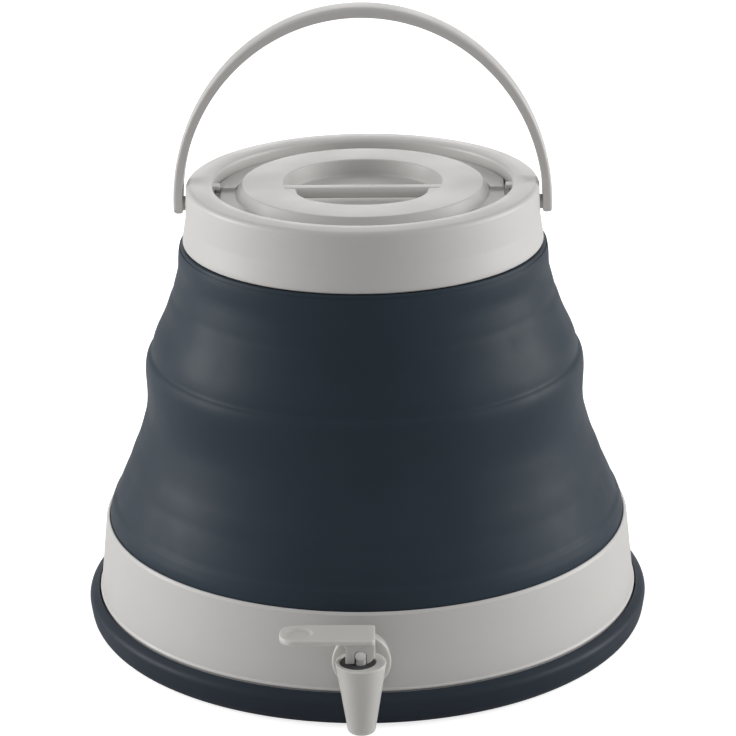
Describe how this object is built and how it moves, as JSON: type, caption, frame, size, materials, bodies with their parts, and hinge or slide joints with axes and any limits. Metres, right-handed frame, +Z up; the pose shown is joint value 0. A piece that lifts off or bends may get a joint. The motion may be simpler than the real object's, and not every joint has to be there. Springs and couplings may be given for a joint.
{
  "type": "collapsible water carrier",
  "caption": "Round folding water carrier with a rigid base and lever tap, a soft folding wall, a rigid top ring with a bail handle, and a twist lid with a finger recess.",
  "frame": {"origin": "middle of the footprint's box, tap included, on the surface that the foot ring stands on; the carrier's own upright axis stands 11.6 mm behind it, at +Y", "axes": "+Z up along the carrier's axis and its folding travel, -Y towards the tap, X along the handle's pivot axis"},
  "size_m": [0.2892, 0.3123, 0.3194],
  "materials": {
    "pale_grey": "satin, warm pale grey",
    "navy": "matt soft silicone, slate navy",
    "tap_grey": "glossy, warm pale grey",
    "rubber_black": "matt black",
    "seal_white": "matt, off-white"
  },
  "bodies": {
    "base": {"foot_ring": "navy", "base_shell": "pale_grey", "lower_clamp_ring": "pale_grey", "wall_lower": "navy", "tap_body": "tap_grey", "tap_outer_washer": "rubber_black", "tap_inner_washer": "rubber_black", "tap_nut": "tap_grey", "tap_bonnet_seal": "rubber_black"},
    "middle": {"wall_middle": "navy"},
    "upper": {"wall_upper": "navy", "upper_clamp_ring": "pale_grey", "top_ring": "pale_grey", "filler_neck": "pale_grey"},
    "handle": {"handle": "pale_grey"},
    "seal": {"lid_seal": "seal_white"},
    "lid": {"lid": "pale_grey", "lid_liner": "pale_grey"},
    "plunger": {"tap_plunger": "seal_white", "tap_valve_seal": "rubber_black"},
    "lever": {"tap_lever": "tap_grey"}
  },
  "joints": [
    {"name": "lower_fold", "type": "slide", "parent": "base", "child": "middle", "axis": [0, 0, -1], "range_m": [0, 0.069], "deforming": ["wall_lower"]},
    {"name": "upper_fold", "type": "slide", "parent": "middle", "child": "upper", "axis": [0, 0, -1], "range_m": [0, 0.069], "deforming": ["wall_upper"]},
    {"name": "handle_swing", "type": "hinge", "parent": "upper", "child": "handle", "pos_m": [0, 0.01156, 0.2192], "axis": [1, 0, 0], "range_deg": [-90, 90]},
    {"name": "lid_lift", "type": "slide", "parent": "upper", "child": "seal", "axis": [0, 0, 1], "range_m": [0, 0.04]},
    {"name": "lid_twist", "type": "hinge", "parent": "seal", "child": "lid", "pos_m": [0, 0.01156, 0.2222], "axis": [0, 0, 1], "range_deg": [-35, 0]},
    {"name": "tap_plunger_lift", "type": "slide", "parent": "base", "child": "plunger", "axis": [0, 0, 1], "range_m": [0, 0.0028]},
    {"name": "tap_lever_turn", "type": "hinge", "parent": "plunger", "child": "lever", "pos_m": [0, -0.1441, 0.0455], "axis": [0, 1, 0], "range_deg": [0, 90]}
  ],
  "couplings": [
    {"joint": "upper_fold", "follows": "lower_fold", "ratio": 1},
    {"joint": "tap_plunger_lift", "follows": "tap_lever_turn", "m_per_rad": 0.0017825}
  ]
}
